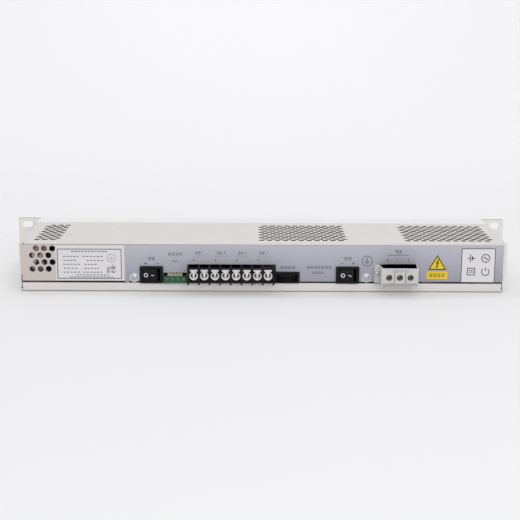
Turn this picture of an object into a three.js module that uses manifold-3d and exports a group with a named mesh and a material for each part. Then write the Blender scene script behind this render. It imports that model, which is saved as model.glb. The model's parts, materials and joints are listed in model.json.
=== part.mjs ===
// Rackmount UPS, one rack unit high, with its connectors on the rear panel.
// Millimetres, +Z up. -Y faces the connector side, +Y faces the front panel, and +X runs
// to the right for someone who looks at the connectors. The origin is the middle of the
// bounding box, on the surface that the case rests on.
import * as THREE from "three";
import { mergeVertices } from "three/addons/utils/BufferGeometryUtils.js";
import Module from "manifold-3d";

const wasm = await Module();
wasm.setup();

// ---- Driving dimensions -------------------------------------------------------------
const RACK_WIDTH = 482.6; // 19 inches over both ears
const EAR_HEIGHT = 44;
const EAR_THICKNESS = 2;
const EAR_LIMB = 1.5;
const SLOT_SPACING_X = 465.1;
const SLOT_SPACING_Z = 31.75;
const SLOT_WIDTH = 10.25;
const SLOT_HEIGHT = 6.25;

const CASE_DEPTH = 125;
const CASE_HEIGHT = 44;
const TRAY_WIDTH = 435;
const SHEET = 1.25; // thickness of the folded steel
const SEAM = 0.25; // gap where two sheets meet edge to edge
const FILM = 0.25; // thickness of films and labels
const FLANGE_DEPTH = 24; // how far the front panel's flanges reach back
const LIP_HEIGHT = 7.5; // folded-up rear edge of the tray
const SKIRT_BOTTOM = 14.5; // lower edge of the cover's sides
const PANEL_BOTTOM = 9.25; // lower edge of the rear panel, above a 1.75 mm slot
const RIGHT_SKIRT_GAP = 0.5; // the cover's right side stands off the tray a little
const HEX_ROWS = 12;

const HEX_FLATS = 5.2; // ventilation holes, across flats
const HEX_PITCH = 7.2;
const HEX_ROW = 6.25;

const BOARD_TOP = 8;
const BOARD_THICKNESS = 1.5;
const OUTPUT_TOP = 24.5;
const MAINS_TOP = 25.25;
const MAINS_REACH = 16; // mains terminal block in front of the rear panel
const OUTPUT_REACH = 11; // output terminal block in front of the rear panel
const OUTPUT_PITCH = 9.5;
const OUTPUT_WAYS = 8;
const MAINS_PITCH = 9.5;

const SWITCH_BEZEL = { width: 21, height: 15.5, reach: 2, radius: 1.2 };
const SWITCH_BODY = { width: 18.5, height: 13, depth: 14 };
const SWITCH_WINDOW = { width: 15.5, height: 11.5 };
const SWITCH_CUTOUT = { width: 19, height: 13.5 };
const ROCKER_TILT = -10; // degrees about +Z at rest: the left end is pressed in
const ROCKER_PIVOT = 4.5; // pivot behind the bezel's back face

// ---- Places worked out from the dimensions ------------------------------------------
const REAR_Y = MAINS_REACH - (CASE_DEPTH + MAINS_REACH) / 2;
const FRONT_Y = REAR_Y + CASE_DEPTH;
const FILM_Y = REAR_Y - FILM;
const INNER_REAR_Y = REAR_Y + SHEET;
const FRONT_PLATE_Y = FRONT_Y - EAR_THICKNESS;
const FLANGE_Y = FRONT_PLATE_Y - FLANGE_DEPTH;
const TRAY_X = TRAY_WIDTH / 2;
const TRAY_INNER_X = TRAY_X - SHEET;
const CASE_X = TRAY_X + SHEET;
const COVER_UNDER = CASE_HEIGHT - SHEET;
const PANEL_TOP = COVER_UNDER - SEAM;
const PANEL_WIDE_X = TRAY_INNER_X - 0.1;
const PANEL_NARROW_X = TRAY_INNER_X - 1;
const EAR_Y = FRONT_PLATE_Y - EAR_THICKNESS;

const BATTERY_SWITCH = { x: -99.5, z: 15.25 };
const MAINS_SWITCH = { x: 76.5, z: 15.5 };
const GROUND_SCREWS = [{ x: -115, z: 12.25 }, { x: 93.5, z: 12.75 }];
const OUTPUT_X = [-67, 11.75];
const OUTPUT_FIRST_FIN_X = -66.25;
const MONITOR_X = [-88.5, -68.25];
const MONITOR_TOP = 14.25;
const SIGNAL_X = [12, 33.25];
const SIGNAL_TOP = 18;
const MAINS_X = [105.25, 138.25];
const MAINS_CENTRE_X = 121.75;
const LABEL_X = [-185, -124];
const FILM_X = [-123, 216];

// ---- Materials ----------------------------------------------------------------------
function material(color, roughness, metalness) {
  return new THREE.MeshStandardMaterial({ color, roughness, metalness });
}

const paint = material("#d9d6d4", 0.5, 0.1);
const frontPaint = material("#e6e5e4", 0.45, 0.05);
const bareSteel = material("#c3bab4", 0.4, 0.75);
const filmBlue = material("#a9a9b8", 0.6, 0);
const labelWhite = material("#e4e4e8", 0.5, 0);
const warningYellow = material("#e6cb23", 0.5, 0);
const blackPlastic = material("#26262a", 0.45, 0);
const greyPlastic = material("#cfcecb", 0.5, 0);
const greenPlastic = material("#1d7a4c", 0.45, 0);
const ivoryPlastic = material("#cbbf8e", 0.5, 0);
const nickel = material("#d6d6d4", 0.3, 0.9);
const boardGreen = material("#1f5a36", 0.6, 0);
const aluminium = material("#b8bcc0", 0.35, 0.85);
const steelCore = material("#7a746c", 0.5, 0.6);
const wrapBlue = material("#2b5f9c", 0.4, 0);
const sleeveBlack = material("#1b1b1e", 0.35, 0);
const ledGreen = material("#5bd07a", 0.25, 0);

// ---- Solids -------------------------------------------------------------------------
// Coordinates are rounded to a tenth of a micrometre, so that faces meant to meet do meet.
const roundOff = (value) => Math.round(value * 1e4) / 1e4;

function solid(geometry) {
  geometry.deleteAttribute("normal");
  geometry.deleteAttribute("uv");
  const merged = mergeVertices(geometry);
  return new wasm.Manifold(new wasm.Mesh({
    numProp: 3,
    vertProperties: Float32Array.from(merged.attributes.position.array, roundOff),
    triVerts: Uint32Array.from(merged.index.array),
  }));
}

function join(solids) {
  return solids.reduce((whole, next) => whole.add(next));
}

function block([x0, x1], [y0, y1], [z0, z1]) {
  const box = new THREE.BoxGeometry(x1 - x0, y1 - y0, z1 - z0);
  box.translate((x0 + x1) / 2, (y0 + y1) / 2, (z0 + z1) / 2);
  return solid(box);
}

// A shape drawn in X and Z, seen from the connector side, made solid from y0 to y1.
function wallPlate(shape, [y0, y1], curveSegments = 6) {
  const plate = new THREE.ExtrudeGeometry(shape, {
    depth: y1 - y0,
    bevelEnabled: false,
    curveSegments,
  });
  plate.rotateX(Math.PI / 2);
  plate.translate(0, y1, 0);
  return solid(plate);
}

// A shape drawn in X and Y, made solid from z0 to z1.
function floorPlate(shape, [z0, z1], curveSegments = 6) {
  const plate = new THREE.ExtrudeGeometry(shape, {
    depth: z1 - z0,
    bevelEnabled: false,
    curveSegments,
  });
  plate.translate(0, 0, z0);
  return solid(plate);
}

function rodAlongY(radius, x, [y0, y1], z, sides = 16) {
  const rod = new THREE.CylinderGeometry(radius, radius, y1 - y0, sides);
  rod.translate(x, (y0 + y1) / 2, z);
  return solid(rod);
}

function rodAlongZ(radius, x, y, [z0, z1], sides = 16) {
  const rod = new THREE.CylinderGeometry(radius, radius, z1 - z0, sides);
  rod.rotateX(Math.PI / 2);
  rod.translate(x, y, (z0 + z1) / 2);
  return solid(rod);
}

function rodAlongX(radius, [x0, x1], y, z, sides = 16) {
  const rod = new THREE.CylinderGeometry(radius, radius, x1 - x0, sides);
  rod.rotateZ(Math.PI / 2);
  rod.translate((x0 + x1) / 2, y, z);
  return solid(rod);
}

function roundedRectangle(width, height, radius) {
  const right = width / 2;
  const top = height / 2;
  const shape = new THREE.Shape();
  shape.absarc(right - radius, top - radius, radius, 0, Math.PI / 2);
  shape.absarc(radius - right, top - radius, radius, Math.PI / 2, Math.PI);
  shape.absarc(radius - right, radius - top, radius, Math.PI, 1.5 * Math.PI);
  shape.absarc(right - radius, radius - top, radius, 1.5 * Math.PI, 2 * Math.PI);
  return shape;
}

function polygon(points) {
  return new THREE.Shape(points.map(([x, y]) => new THREE.Vector2(x, y)));
}

// A pan-head screw on the Y axis: its head rests on y = 0 and points towards -Y.
function panScrew(headRadius, headHeight, shankRadius, length, sides = 12) {
  const profile = [
    [0, -headHeight],
    [0.6 * headRadius, -headHeight],
    [headRadius, -0.5 * headHeight],
    [headRadius, 0],
    [shankRadius, 0],
    [shankRadius, length],
    [0, length],
  ];
  return solid(new THREE.LatheGeometry(profile.map(([r, y]) => new THREE.Vector2(r, y)), sides));
}

// ---- The assembly -------------------------------------------------------------------
const ups = new THREE.Group();

function place(name, manifold, surface, parent = ups) {
  const { vertProperties, triVerts } = manifold.getMesh();
  const geometry = new THREE.BufferGeometry();
  geometry.setAttribute("position", new THREE.BufferAttribute(vertProperties, 3));
  geometry.setIndex(new THREE.BufferAttribute(triVerts, 1));
  geometry.computeVertexNormals();
  const mesh = new THREE.Mesh(geometry, surface);
  mesh.name = name;
  parent.add(mesh);
  return mesh;
}

// Hexagonal holes in a staggered lattice, with a corner of each hole towards the next row.
function hexRows(columns, rows, makeHole) {
  const holes = [];
  for (let row = 0; row < rows; row += 1) {
    const shift = row % 2 === 0 ? 0 : HEX_PITCH / 2;
    for (let column = 0; column < columns; column += 1) {
      holes.push(makeHole(column * HEX_PITCH + shift, row * HEX_ROW));
    }
  }
  return wasm.Manifold.union(holes);
}

const HEX_RADIUS = HEX_FLATS / Math.sqrt(3);

// ---- Case ---------------------------------------------------------------------------
const COVER_SCREWS_Y = [-30, 30];
const COVER_SCREW_Z = 28;
const EAR_SCREW_Y = 57;
const EAR_SCREWS_Z = [12, 32];

function makeTray() {
  const lipX = TRAY_INNER_X - 0.75;
  const wallY = [INNER_REAR_Y, FRONT_PLATE_Y];
  const cornerY = [REAR_Y, INNER_REAR_Y + 1];
  let tray = join([
    block([-TRAY_X, TRAY_X], [REAR_Y, FRONT_PLATE_Y], [0, SHEET]),
    block([-lipX, lipX], [REAR_Y, INNER_REAR_Y], [0, LIP_HEIGHT]),
    block([-TRAY_X, -TRAY_INNER_X], [REAR_Y, FRONT_PLATE_Y], [0, COVER_UNDER]),
    block([TRAY_INNER_X, TRAY_X], wallY, [0, COVER_UNDER]),
    block([TRAY_INNER_X, TRAY_X], cornerY, [0, SKIRT_BOTTOM]),
  ]);
  const reliefX = (lipX + TRAY_INNER_X) / 2;
  const reliefY = [REAR_Y - 1, INNER_REAR_Y + 0.5];
  for (const side of [-1, 1]) {
    tray = tray.subtract(rodAlongY(0.9, side * reliefX, reliefY, 2.8, 10));
  }
  const across = [-TRAY_X - 1, TRAY_X + 1];
  for (const y of COVER_SCREWS_Y) {
    tray = tray.subtract(rodAlongX(1.8, across, y, COVER_SCREW_Z, 10));
  }
  for (const z of EAR_SCREWS_Z) {
    tray = tray.subtract(rodAlongX(1.8, across, EAR_SCREW_Y, z, 10));
  }
  return tray;
}

// The cover's left flange goes down inside the tray; its right skirt goes down outside,
// and turns in across the rear.
function makeCover() {
  const rightX = TRAY_X + RIGHT_SKIRT_GAP;
  const y = [REAR_Y, FLANGE_Y - SEAM];
  const flangeX = -TRAY_INNER_X + SEAM;
  let cover = join([
    block([-TRAY_X, rightX + SHEET], y, [COVER_UNDER, CASE_HEIGHT]),
    block([flangeX, flangeX + SHEET], [REAR_Y + 11, y[1]], [24, CASE_HEIGHT]),
    block([rightX, rightX + SHEET], y, [SKIRT_BOTTOM, CASE_HEIGHT]),
    block([TRAY_INNER_X, rightX + 0.5], [REAR_Y, INNER_REAR_Y], [SKIRT_BOTTOM + SEAM, CASE_HEIGHT]),
  ]);
  // A relief hole and a slit at the rear left corner, left from folding the sheet.
  const reliefX = -TRAY_X + 4;
  cover = cover.subtract(rodAlongY(0.8, reliefX, [REAR_Y - 1, REAR_Y + 1.5], CASE_HEIGHT - 0.75, 10));
  cover = cover.subtract(block(
    [reliefX - 0.2, reliefX + 0.2],
    [REAR_Y - 1, REAR_Y + 10],
    [COVER_UNDER - 1, CASE_HEIGHT + 1],
  ));
  const through = [COVER_UNDER - 1, CASE_HEIGHT + 1];
  const firstRowY = REAR_Y + 14.5;
  const patches = [
    { x: -204, columns: 3 },
    { x: -0.75, columns: 11 },
    { x: 132, columns: 11 },
  ];
  for (const patch of patches) {
    const holes = hexRows(patch.columns, HEX_ROWS, (dx, dy) => (
      rodAlongZ(HEX_RADIUS, patch.x + dx, firstRowY + dy, through, 6)
    ));
    cover = cover.subtract(holes);
  }
  for (const screwY of COVER_SCREWS_Y) {
    const across = [-CASE_X - 2, CASE_X + 2];
    cover = cover.subtract(rodAlongX(1.8, across, screwY, COVER_SCREW_Z, 10));
  }
  return cover;
}

// The notches in the rear panel and its film are open at the bottom, so that the panel
// drops over the terminals that stand on the main board.
function terminalNotches(clearance) {
  const y = [REAR_Y - 1, INNER_REAR_Y + 1];
  const low = LIP_HEIGHT - 1;
  const notches = [
    { x: OUTPUT_X, top: OUTPUT_TOP },
    { x: MONITOR_X, top: MONITOR_TOP + 2.5 },
    { x: SIGNAL_X, top: SIGNAL_TOP },
    { x: MAINS_X, top: MAINS_TOP },
  ].map(({ x, top }) => block([x[0] - clearance, x[1] + clearance], y, [low, top + clearance]));
  const halfWidth = SWITCH_CUTOUT.width / 2;
  for (const { x, z } of [BATTERY_SWITCH, MAINS_SWITCH]) {
    const top = z + SWITCH_CUTOUT.height / 2;
    notches.push(block([x - halfWidth, x + halfWidth], y, [low, top]));
  }
  return join(notches);
}

function makeRearPanel() {
  const shoulder = SKIRT_BOTTOM + SEAM;
  const outline = polygon([
    [-PANEL_NARROW_X, PANEL_BOTTOM],
    [PANEL_NARROW_X, PANEL_BOTTOM],
    [PANEL_NARROW_X, shoulder],
    [PANEL_WIDE_X, shoulder],
    [PANEL_WIDE_X, PANEL_TOP],
    [-PANEL_WIDE_X, PANEL_TOP],
    [-PANEL_WIDE_X, shoulder],
    [-PANEL_NARROW_X, shoulder],
  ]);
  const plate = wallPlate(outline, [REAR_Y, INNER_REAR_Y]);
  const flangeX = TRAY_INNER_X - SEAM;
  const flange = block([-flangeX, flangeX], [REAR_Y, REAR_Y + 10], [PANEL_TOP - 1, PANEL_TOP]);
  const through = [REAR_Y - 1, INNER_REAR_Y + 1];
  const vents = hexRows(3, 4, (dx, dz) => (
    rodAlongY(HEX_RADIUS, -206 + dx, through, 20 + dz, 6)
  ));
  let panel = plate.add(flange).subtract(vents).subtract(terminalNotches(0.3));
  for (const { x, z } of GROUND_SCREWS) {
    panel = panel.subtract(rodAlongY(1.8, x, through, z, 10));
  }
  return panel;
}

function makeRearFilm() {
  const tab = [FILM_X[0], FILM_X[0] + 3.5];
  let film = block(FILM_X, [FILM_Y, REAR_Y], [PANEL_BOTTOM, PANEL_TOP - 0.5]);
  film = film.add(block(tab, [FILM_Y, REAR_Y], [LIP_HEIGHT, PANEL_BOTTOM + 1]));
  film = film.subtract(terminalNotches(0.3));
  const archRadius = 4.2;
  const y = [FILM_Y - 1, REAR_Y + 1];
  for (const { x, z } of GROUND_SCREWS) {
    film = film.subtract(rodAlongY(archRadius, x, y, z, 24));
    film = film.subtract(block([x - archRadius, x + archRadius], y, [0, z]));
  }
  return film;
}

const LED_X = [176, 188, 200];
const LED_Z = 30;
const LED_RADIUS = 1.5;

function makeFrontPanel() {
  const flangeY = [FLANGE_Y, FRONT_PLATE_Y];
  const low = SEAM;
  let panel = join([
    block([-CASE_X, CASE_X], [FRONT_PLATE_Y, FRONT_Y], [low, CASE_HEIGHT]),
    block([-CASE_X, CASE_X], flangeY, [COVER_UNDER, CASE_HEIGHT]),
    block([-CASE_X, -TRAY_X], flangeY, [low, CASE_HEIGHT]),
    block([TRAY_X, CASE_X], flangeY, [low, CASE_HEIGHT]),
  ]);
  for (const z of EAR_SCREWS_Z) {
    panel = panel.subtract(rodAlongX(1.8, [-CASE_X - 1, CASE_X + 1], EAR_SCREW_Y, z, 10));
  }
  for (const x of LED_X) {
    const y = [FRONT_PLATE_Y - 1, FRONT_Y + 1];
    panel = panel.subtract(rodAlongY(LED_RADIUS + 0.3, x, y, LED_Z, 12));
  }
  return panel;
}

// One ear for the +X side: a flange with two rack slots, and a limb along the case.
function makeEar() {
  const outerX = RACK_WIDTH / 2;
  const slotX = SLOT_SPACING_X / 2;
  const limbY = [FLANGE_Y + 0.5, EAR_Y + EAR_THICKNESS];
  let ear = block([CASE_X, outerX], [EAR_Y, EAR_Y + EAR_THICKNESS], [0, EAR_HEIGHT]);
  ear = ear.add(block([CASE_X, CASE_X + EAR_LIMB], limbY, [0, EAR_HEIGHT]));
  const slot = roundedRectangle(SLOT_WIDTH, SLOT_HEIGHT, SLOT_HEIGHT / 2 - 0.01);
  for (const z of EAR_SCREWS_Z) {
    ear = ear.subtract(rodAlongX(1.8, [CASE_X - 1, CASE_X + 3], EAR_SCREW_Y, z, 10));
  }
  for (const side of [-1, 1]) {
    const hole = wallPlate(slot, [EAR_Y - 1, EAR_Y + EAR_THICKNESS + 1]);
    const z = EAR_HEIGHT / 2 + (side * SLOT_SPACING_Z) / 2;
    ear = ear.subtract(hole.translate([slotX, 0, z]));
  }
  return ear;
}

place("base_tray", makeTray(), paint);
place("top_cover", makeCover(), paint);
place("rear_panel", makeRearPanel(), bareSteel);
place("rear_overlay_film", makeRearFilm(), filmBlue);
place("front_panel", makeFrontPanel(), frontPaint);
place("rack_ear_right", makeEar(), paint);
place("rack_ear_left", makeEar().mirror([1, 0, 0]), paint);

// ---- Case fasteners -----------------------------------------------------------------
// Each side screw lies on the X axis of its own group, with its head outwards.
function sideScrew(name, side, headX, y, z, screw) {
  const group = new THREE.Group();
  group.position.set(side * headX, y, z);
  group.rotation.z = (side * Math.PI) / 2;
  place(name, screw, nickel, group);
  ups.add(group);
}

const sideNames = { "-1": "left", 1: "right" };
for (const side of [-1, 1]) {
  const limbFace = CASE_X + EAR_LIMB;
  EAR_SCREWS_Z.forEach((z, index) => {
    const name = `ear_screw_${sideNames[side]}_${index + 1}`;
    sideScrew(name, side, limbFace, EAR_SCREW_Y, z, panScrew(2.75, 1.25, 1.5, 5));
  });
  const coverFace = side < 0 ? TRAY_X : TRAY_X + RIGHT_SKIRT_GAP + SHEET;
  COVER_SCREWS_Y.forEach((y, index) => {
    const name = `cover_screw_${sideNames[side]}_${index + 1}`;
    sideScrew(name, side, coverFace, y, COVER_SCREW_Z, panScrew(2.7, 1.2, 1.5, 5));
  });
}

// ---- Labels -------------------------------------------------------------------------
const onPanel = [FILM_Y, REAR_Y];
const onFilm = [FILM_Y - FILM, FILM_Y];
const triangle = polygon([[148.25, 20.5], [165.75, 20.5], [157, 34.25]]);

place("rating_label", block(LABEL_X, onPanel, [9.75, 41.75]), labelWhite);
place("pictogram_label", block([178.5, 209], onFilm, [PANEL_BOTTOM, 40.25]), labelWhite);
place("hazard_triangle", wallPlate(triangle, onFilm), warningYellow);
place("hazard_plate", block([147.75, 166.25], onFilm, [12, 19]), warningYellow);

// ---- Ground screws ------------------------------------------------------------------
GROUND_SCREWS.forEach(({ x, z }, index) => {
  const screw = panScrew(3.1, 1.75, 1.5, 7);
  const mesh = place(`ground_screw_${index + 1}`, screw, nickel);
  mesh.position.set(x, REAR_Y, z);
});

// ---- Rocker switches ----------------------------------------------------------------
// In a switch's own frame y = 0 is the bezel's back face, and -Y points out of the panel.
function makeSwitchHousing() {
  const { width, height, reach, radius } = SWITCH_BEZEL;
  const bezel = wallPlate(roundedRectangle(width, height, radius), [-reach, 0], 4);
  const halfBody = [SWITCH_BODY.width / 2, SWITCH_BODY.height / 2];
  const body = block([-halfBody[0], halfBody[0]], [0, SWITCH_BODY.depth], [-halfBody[1], halfBody[1]]);
  const halfWindow = [SWITCH_WINDOW.width / 2, SWITCH_WINDOW.height / 2];
  const cavity = block(
    [-halfWindow[0], halfWindow[0]],
    [-reach - 1, SWITCH_BODY.depth - 2],
    [-halfWindow[1], halfWindow[1]],
  );
  const bearing = rodAlongZ(1.35, 0, ROCKER_PIVOT, [-halfBody[1] - 1, halfBody[1] + 1], 16);
  return bezel.add(body).subtract(cavity).subtract(bearing);
}

// The rocker is drawn level about its pivot, which is this shape's origin, then extruded
// along the pivot. Its ends lean in so that they clear the window at both stops.
function makeRocker() {
  const halfFace = 6.3;
  const faceY = -7;
  const hubRadius = 3;
  const outline = new THREE.Shape();
  outline.moveTo(-halfFace, faceY);
  outline.quadraticCurveTo(0, faceY + 0.7, halfFace, faceY);
  outline.lineTo(6.9, -3);
  outline.lineTo(hubRadius, -0.5);
  outline.absarc(0, 0, hubRadius, 0, Math.PI);
  outline.lineTo(-6.9, -3);
  outline.lineTo(-halfFace, faceY);
  const halfHeight = SWITCH_WINDOW.height / 2 - 0.25;
  const body = floorPlate(outline, [-halfHeight, halfHeight]);
  const journals = rodAlongZ(1.1, 0, 0, [-6, 6], 16);
  return body.add(journals);
}

function addSwitch(name, { x, z }) {
  const group = new THREE.Group();
  group.position.set(x, FILM_Y, z);
  ups.add(group);
  place(`${name}_housing`, makeSwitchHousing(), blackPlastic, group);
  const rocker = place(`${name}_rocker`, makeRocker(), blackPlastic, group);
  rocker.position.y = ROCKER_PIVOT;
  rocker.rotation.z = THREE.MathUtils.degToRad(ROCKER_TILT);
  [-4, 4].forEach((tabX, index) => {
    const tab = block([-2.4, 2.4], [0, 8], [-0.4, 0.4]);
    const mesh = place(`${name}_tab_${index + 1}`, tab, nickel, group);
    mesh.position.set(tabX, SWITCH_BODY.depth, 0);
  });
}

addSwitch("battery_switch", BATTERY_SWITCH);
addSwitch("mains_switch", MAINS_SWITCH);

// ---- Output terminal block ----------------------------------------------------------
const OUTPUT_FRONT_Y = REAR_Y - OUTPUT_REACH;
const OUTPUT_FLOOR_Y = OUTPUT_FRONT_Y + 7.5; // the cell floor that the clamp plates lie on
const OUTPUT_FIN = 1.4;
const OUTPUT_SCREW_Z = 16;
const OUTPUT_TROUGH = 21.25; // the body ends lower than the fins, in open troughs

function makeOutputBlock() {
  const fullHeight = [BOARD_TOP, OUTPUT_TOP];
  const fins = [];
  for (let fin = 0; fin <= OUTPUT_WAYS; fin += 1) {
    const x = OUTPUT_FIRST_FIN_X + fin * OUTPUT_PITCH;
    const width = [x - OUTPUT_FIN / 2, x + OUTPUT_FIN / 2];
    fins.push(block(width, [OUTPUT_FRONT_Y, INNER_REAR_Y + 1], fullHeight));
  }
  const body = block(OUTPUT_X, [OUTPUT_FLOOR_Y, -44], [BOARD_TOP, OUTPUT_TROUGH]);
  const railY = [OUTPUT_FRONT_Y, OUTPUT_FRONT_Y + 1.25];
  const rail = block([OUTPUT_X[0], OUTPUT_X[1] - 1], railY, [22.5, 23.75]);
  const endWallY = [OUTPUT_FRONT_Y, INNER_REAR_Y + 1];
  const endWall = block([9, OUTPUT_X[1]], endWallY, [21, OUTPUT_TOP]);
  let whole = join([body, ...fins, rail, endWall]);
  for (let way = 0; way < OUTPUT_WAYS; way += 1) {
    const x = OUTPUT_FIRST_FIN_X + (way + 0.5) * OUTPUT_PITCH;
    const hole = [OUTPUT_FLOOR_Y - 1, OUTPUT_FLOOR_Y + 9];
    whole = whole.subtract(rodAlongY(1.9, x, hole, OUTPUT_SCREW_Z, 10));
  }
  return whole;
}

function makeOutputScrew() {
  const clamp = block([-3.6, 3.6], [-1.25, -0.25], [-4.75, 4.75]);
  const screw = panScrew(3.1, 2.25, 1.5, 8).translate([0, -1, 0]);
  return clamp.add(screw);
}

place("output_block_body", makeOutputBlock(), blackPlastic);
for (let way = 0; way < OUTPUT_WAYS; way += 1) {
  const mesh = place(`output_screw_${way + 1}`, makeOutputScrew(), nickel);
  const x = OUTPUT_FIRST_FIN_X + (way + 0.5) * OUTPUT_PITCH;
  mesh.position.set(x, OUTPUT_FLOOR_Y, OUTPUT_SCREW_Z);
}

// ---- Mains terminal block -----------------------------------------------------------
const MAINS_FRONT_Y = REAR_Y - MAINS_REACH;
const MAINS_SCREW_Z = 16.5;
const MAINS_FIXING_Z = 17;
const MAINS_SEAT_Y = MAINS_FRONT_Y + 6; // where the screw heads rest in their wells
const mainsWays = [-1, 0, 1].map((step) => MAINS_CENTRE_X + step * MAINS_PITCH);

function makeMainsBlock() {
  const wall = 1.25;
  const inner = [MAINS_X[0] + wall, MAINS_X[1] - wall];
  const y = [MAINS_FRONT_Y, -44];
  let whole = join([
    block(inner, y, [11.25, MAINS_TOP]),
    block([MAINS_X[0], inner[0] + 0.1], y, [BOARD_TOP, MAINS_TOP]),
    block([inner[1] - 0.1, MAINS_X[1]], y, [BOARD_TOP, MAINS_TOP]),
    block(inner, [INNER_REAR_Y + 2, -44], [BOARD_TOP, MAINS_TOP]),
    block([MAINS_X[0] - 4.75, inner[0]], [FILM_Y - 2.5, FILM_Y], [8.75, MAINS_TOP]),
  ]);
  for (const x of mainsWays) {
    const pocketX = [x - 4.25, x + 4.25];
    whole = whole.subtract(block(pocketX, [MAINS_SEAT_Y, FILM_Y - 0.5], [13, MAINS_TOP + 1]));
    whole = whole.subtract(rodAlongY(2.85, x, [MAINS_FRONT_Y - 1, MAINS_SEAT_Y + 1], MAINS_SCREW_Z, 20));
    whole = whole.subtract(rodAlongY(1.9, x, [FILM_Y - 2, FILM_Y + 4], MAINS_SCREW_Z, 10));
  }
  for (const step of [-0.5, 0.5]) {
    const x = MAINS_CENTRE_X + step * MAINS_PITCH;
    const grooveY = [MAINS_FRONT_Y - 1, MAINS_FRONT_Y + 0.6];
    whole = whole.subtract(block([x - 0.35, x + 0.35], grooveY, [0, MAINS_TOP - 2]));
  }
  const fixingX = MAINS_X[0] - 2.375;
  return whole.subtract(rodAlongY(1.4, fixingX, [FILM_Y - 4, FILM_Y + 1], MAINS_FIXING_Z, 10));
}

place("mains_block_body", makeMainsBlock(), greyPlastic);
mainsWays.forEach((x, index) => {
  const screw = panScrew(2.5, 2, 1.5, 13);
  const mesh = place(`mains_screw_${index + 1}`, screw, nickel);
  mesh.position.set(x, MAINS_SEAT_Y, MAINS_SCREW_Z);
});
const fixing = place("mains_block_fixing_screw", panScrew(2, 1.25, 1, 2.25, 12), nickel);
fixing.position.set(MAINS_X[0] - 2.375, FILM_Y - 2.5, MAINS_FIXING_Z);

// ---- Signal header ------------------------------------------------------------------
function makeSignalHeader() {
  const shell = block(SIGNAL_X, [REAR_Y - 2, -42], [BOARD_TOP, SIGNAL_TOP]);
  const cavity = block([13.25, 31.25], [REAR_Y - 3, -46], [9, 16.25]);
  const tongue = block([14.5, 30], [REAR_Y + 1.5, -45], [8.5, 14]);
  return shell.subtract(cavity).add(tongue);
}

place("signal_header", makeSignalHeader(), blackPlastic);

// ---- Monitor terminal: a fixed header and a plug that pulls out towards -Y ----------
const MONITOR_WAYS = 4;
const MONITOR_PITCH = 5.08;

function makeMonitorHeader() {
  const shell = block(MONITOR_X, [REAR_Y, -42], [BOARD_TOP, MONITOR_TOP]);
  const cavityX = [MONITOR_X[0] + 1.25, MONITOR_X[1] - 1.25];
  const cavity = block(cavityX, [REAR_Y - 1, -45], [9.25, 13]);
  return shell.subtract(cavity);
}

function makeMonitorPlug() {
  const noseX = [MONITOR_X[0] + 1.5, MONITOR_X[1] - 1.5];
  const nose = block(noseX, [REAR_Y - 1, -46.5], [9.5, 12.75]);
  const grip = block(MONITOR_X, [REAR_Y - 3.5, REAR_Y - 0.3], [BOARD_TOP, MONITOR_TOP]);
  let plug = nose.add(grip);
  const middle = (MONITOR_X[0] + MONITOR_X[1]) / 2;
  for (let way = 0; way < MONITOR_WAYS; way += 1) {
    const x = middle + (way - (MONITOR_WAYS - 1) / 2) * MONITOR_PITCH;
    plug = plug.subtract(block([x - 1.6, x + 1.6], [REAR_Y - 4, REAR_Y - 1.75], [9.25, 12.5]));
  }
  return plug;
}

function makeMarkerStrip() {
  let strip = block([-85, -72], [REAR_Y - 1, REAR_Y + 6], [MONITOR_TOP, MONITOR_TOP + 2.25]);
  for (let tooth = 0; tooth < 4; tooth += 1) {
    const x = -82.75 + tooth * 2.6;
    const cut = [MONITOR_TOP + 1, MONITOR_TOP + 3];
    strip = strip.subtract(block([x - 0.2, x + 0.9], [REAR_Y - 2, REAR_Y + 7], cut));
  }
  return strip;
}

place("monitor_header", makeMonitorHeader(), greenPlastic);
place("monitor_plug", makeMonitorPlug(), greenPlastic);
place("monitor_marker_strip", makeMarkerStrip(), ivoryPlastic);

// ---- Inside the case ----------------------------------------------------------------
const BOARD_X = [-120, 145];
const BOARD_Y = [-52.5, 40];

function makeHeatsink() {
  const base = block([5, 71], [-15, 27], [BOARD_TOP, BOARD_TOP + 3]);
  const fins = [];
  for (let x = 5; x <= 68.5; x += 7.9375) {
    fins.push(block([x, x + 2.5], [-15, 27], [BOARD_TOP, 34]));
  }
  return join([base, ...fins]);
}

function makeTransformer() {
  const core = block([155, 203], [-22, 20], [SHEET, 33]);
  const windowHole = block([154, 204], [-14, 12], [8, 26]);
  const coil = block([161, 197], [-30, 28], [9, 25.5]);
  return core.subtract(windowHole).add(coil);
}

function makeBatteryPack() {
  const cellRadius = 9.25;
  const cells = [];
  for (let column = 0; column < 4; column += 1) {
    for (const z of [SHEET + cellRadius, SHEET + 3 * cellRadius - 0.5]) {
      const x = -200 + cellRadius + column * (2 * cellRadius - 0.5);
      cells.push(rodAlongY(cellRadius, x, [-20, 52], z, 16));
    }
  }
  const wrap = block([-196, -134.5], [-20, 52], [SHEET, 36]);
  return join([wrap, ...cells]);
}

place("main_board", block(BOARD_X, BOARD_Y, [BOARD_TOP - BOARD_THICKNESS, BOARD_TOP]), boardGreen);
const standoffX = [BOARD_X[0] + 6, BOARD_X[1] - 6];
const standoffY = [BOARD_Y[0] + 6, BOARD_Y[1] - 6];
standoffX.forEach((x, column) => {
  standoffY.forEach((y, row) => {
    const post = rodAlongZ(2.75, x, y, [SHEET, BOARD_TOP - BOARD_THICKNESS], 6);
    place(`board_standoff_${2 * column + row + 1}`, post, nickel);
  });
});
place("heatsink", makeHeatsink(), aluminium);
place("transformer", makeTransformer(), steelCore);
place("battery_pack", makeBatteryPack(), wrapBlue);
[-60, -32].forEach((x, index) => {
  const can = rodAlongZ(11, x, 5, [BOARD_TOP, 36], 20);
  place(`capacitor_${index + 1}`, can, sleeveBlack);
});

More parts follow.
